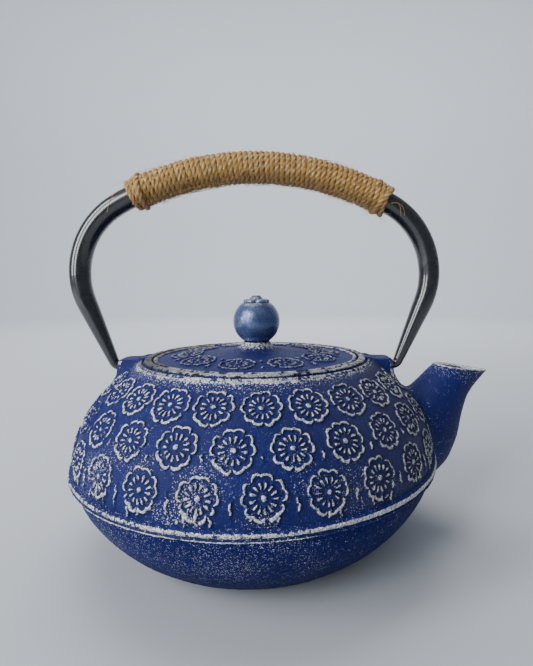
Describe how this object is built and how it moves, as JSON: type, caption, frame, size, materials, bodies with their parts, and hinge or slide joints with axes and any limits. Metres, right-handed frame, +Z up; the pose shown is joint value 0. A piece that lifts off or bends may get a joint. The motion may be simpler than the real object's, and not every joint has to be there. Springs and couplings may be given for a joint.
{
  "type": "teapot",
  "caption": "Cast iron teapot with flower relief, a swing handle wrapped in twine, a lift-off lid with a round knob and a steel infuser basket.",
  "frame": {"origin": "where the pot's axis meets the table, at the centre of the flat base", "axes": "+Z up, +X towards the spout, the handle turns about an axis parallel to X"},
  "size_m": [0.2014, 0.17, 0.1816],
  "materials": {
    "enamel_iron": "semi-gloss blue enamel over cast iron, silver rubbed on raised parts",
    "knob_enamel": "satin blue-grey enamel on cast iron",
    "fastener_steel": "dull plated steel",
    "black_paint": "semi-gloss black paint on steel",
    "jute_twine": "twisted natural jute",
    "stainless": "stainless steel sheet and mesh"
  },
  "bodies": {
    "pot": {"pot_body": "enamel_iron"},
    "infuser": {"infuser_rim": "stainless", "infuser_mesh": "stainless", "infuser_base": "stainless"},
    "lid": {"lid": "enamel_iron", "knob_ball": "knob_enamel", "knob_cap": "knob_enamel", "knob_rivet": "fastener_steel", "lid_washer": "fastener_steel"},
    "handle": {"handle_bail": "black_paint", "jute_wrap": "jute_twine"}
  },
  "joints": [
    {"name": "handle_swing", "type": "hinge", "parent": "pot", "child": "handle", "pos_m": [0, 0, 0.081], "axis": [1, 0, 0], "range_deg": [-104, 104]},
    {"name": "infuser_lift", "type": "slide", "parent": "pot", "child": "infuser", "axis": [0, 0, 1], "range_m": [0, 0.042]},
    {"name": "lid_lift", "type": "slide", "parent": "infuser", "child": "lid", "axis": [0, 0, 1], "range_m": [0, 0.045]}
  ]
}
